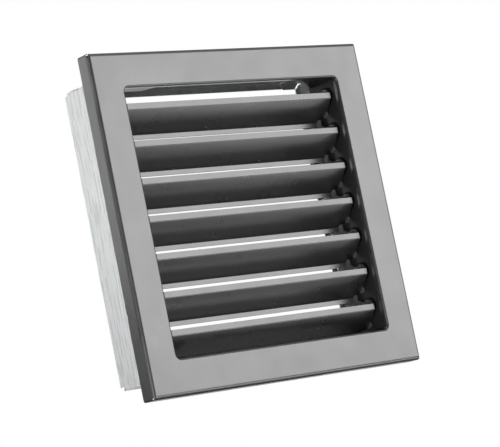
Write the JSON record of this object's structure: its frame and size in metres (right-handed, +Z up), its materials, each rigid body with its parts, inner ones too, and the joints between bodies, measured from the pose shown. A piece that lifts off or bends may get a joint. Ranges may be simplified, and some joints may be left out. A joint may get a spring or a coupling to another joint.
{
  "type": "louvred air grille",
  "caption": "Square wall air grille: tilting louvres ganged by a link bar in a folded metal front frame, which spring clips hold in a galvanised wall sleeve.",
  "frame": {"origin": "centre of the square wall opening, at the finished wall face", "axes": "+X to the right seen from the room, +Y into the wall along the air path, +Z up"},
  "size_m": [0.22, 0.0516, 0.22],
  "materials": {
    "frame_paint": "satin metallic",
    "louvre_paint": "satin metallic",
    "dark_paint": "semi-gloss",
    "galvanised_sheet": "hot-dip galvanised, faint spangle",
    "zinc_fasteners": "zinc plated",
    "link_steel": "dull zinc plated",
    "spring_steel": "blued",
    "bush_nylon": "moulded"
  },
  "bodies": {
    "sleeve": {"sleeve_upper": "galvanised_sheet", "sleeve_lower": "galvanised_sheet", "sleeve_rivets": "zinc_fasteners"},
    "grille": {"front_frame": "frame_paint", "left_side_plate": "dark_paint", "right_side_plate": "dark_paint", "left_pivot_bushes": "bush_nylon", "right_pivot_bushes": "bush_nylon", "left_spring_clips": "spring_steel", "right_spring_clips": "spring_steel", "clip_rivets": "zinc_fasteners"},
    "link_bar": {"link_bar": "link_steel"},
    "louvre_1": {"louvre_1_blade": "louvre_paint", "louvre_1_brackets": "link_steel", "louvre_1_pivot_pins": "zinc_fasteners", "louvre_1_crank_pin": "zinc_fasteners"},
    "louvre_2": {"louvre_2_blade": "louvre_paint", "louvre_2_brackets": "link_steel", "louvre_2_pivot_pins": "zinc_fasteners", "louvre_2_crank_pin": "zinc_fasteners"},
    "louvre_3": {"louvre_3_blade": "louvre_paint", "louvre_3_brackets": "link_steel", "louvre_3_pivot_pins": "zinc_fasteners", "louvre_3_crank_pin": "zinc_fasteners"},
    "louvre_4": {"louvre_4_blade": "louvre_paint", "louvre_4_brackets": "link_steel", "louvre_4_pivot_pins": "zinc_fasteners", "louvre_4_crank_pin": "zinc_fasteners"},
    "louvre_5": {"louvre_5_blade": "louvre_paint", "louvre_5_brackets": "link_steel", "louvre_5_pivot_pins": "zinc_fasteners", "louvre_5_crank_pin": "zinc_fasteners"},
    "louvre_6": {"louvre_6_blade": "louvre_paint", "louvre_6_brackets": "link_steel", "louvre_6_pivot_pins": "zinc_fasteners", "louvre_6_crank_pin": "zinc_fasteners"},
    "louvre_7": {"louvre_7_blade": "louvre_paint", "louvre_7_brackets": "link_steel", "louvre_7_pivot_pins": "zinc_fasteners", "louvre_7_crank_pin": "zinc_fasteners"}
  },
  "joints": [
    {"name": "grille_pull_out", "type": "slide", "parent": "sleeve", "child": "grille", "axis": [0, -1, 0], "range_m": [0, 0.06]},
    {"name": "louvre_4_tilt", "type": "hinge", "parent": "grille", "child": "louvre_4", "pos_m": [0, 0.0029, 0.0041], "axis": [-1, 0, 0], "range_deg": [0, 37]},
    {"name": "louvre_1_tilt", "type": "hinge", "parent": "grille", "child": "louvre_1", "pos_m": [0, 0.0029, 0.077], "axis": [-1, 0, 0], "range_deg": [0, 37]},
    {"name": "louvre_2_tilt", "type": "hinge", "parent": "grille", "child": "louvre_2", "pos_m": [0, 0.0029, 0.0527], "axis": [-1, 0, 0], "range_deg": [0, 37]},
    {"name": "louvre_3_tilt", "type": "hinge", "parent": "grille", "child": "louvre_3", "pos_m": [0, 0.0029, 0.0284], "axis": [-1, 0, 0], "range_deg": [0, 37]},
    {"name": "louvre_5_tilt", "type": "hinge", "parent": "grille", "child": "louvre_5", "pos_m": [0, 0.0029, -0.0202], "axis": [-1, 0, 0], "range_deg": [0, 37]},
    {"name": "louvre_6_tilt", "type": "hinge", "parent": "grille", "child": "louvre_6", "pos_m": [0, 0.0029, -0.0445], "axis": [-1, 0, 0], "range_deg": [0, 37]},
    {"name": "louvre_7_tilt", "type": "hinge", "parent": "grille", "child": "louvre_7", "pos_m": [0, 0.0029, -0.0688], "axis": [-1, 0, 0], "range_deg": [0, 37]},
    {"name": "link_bar_pivot", "type": "hinge", "parent": "louvre_4", "child": "link_bar", "pos_m": [0, 0.0146, 0.0051], "axis": [-1, 0, 0], "range_deg": [-37, 0]}
  ],
  "couplings": [
    {"joint": "louvre_1_tilt", "follows": "louvre_4_tilt", "ratio": 1},
    {"joint": "louvre_2_tilt", "follows": "louvre_4_tilt", "ratio": 1},
    {"joint": "louvre_3_tilt", "follows": "louvre_4_tilt", "ratio": 1},
    {"joint": "louvre_5_tilt", "follows": "louvre_4_tilt", "ratio": 1},
    {"joint": "louvre_6_tilt", "follows": "louvre_4_tilt", "ratio": 1},
    {"joint": "louvre_7_tilt", "follows": "louvre_4_tilt", "ratio": 1},
    {"joint": "link_bar_pivot", "follows": "louvre_4_tilt", "ratio": -1}
  ]
}
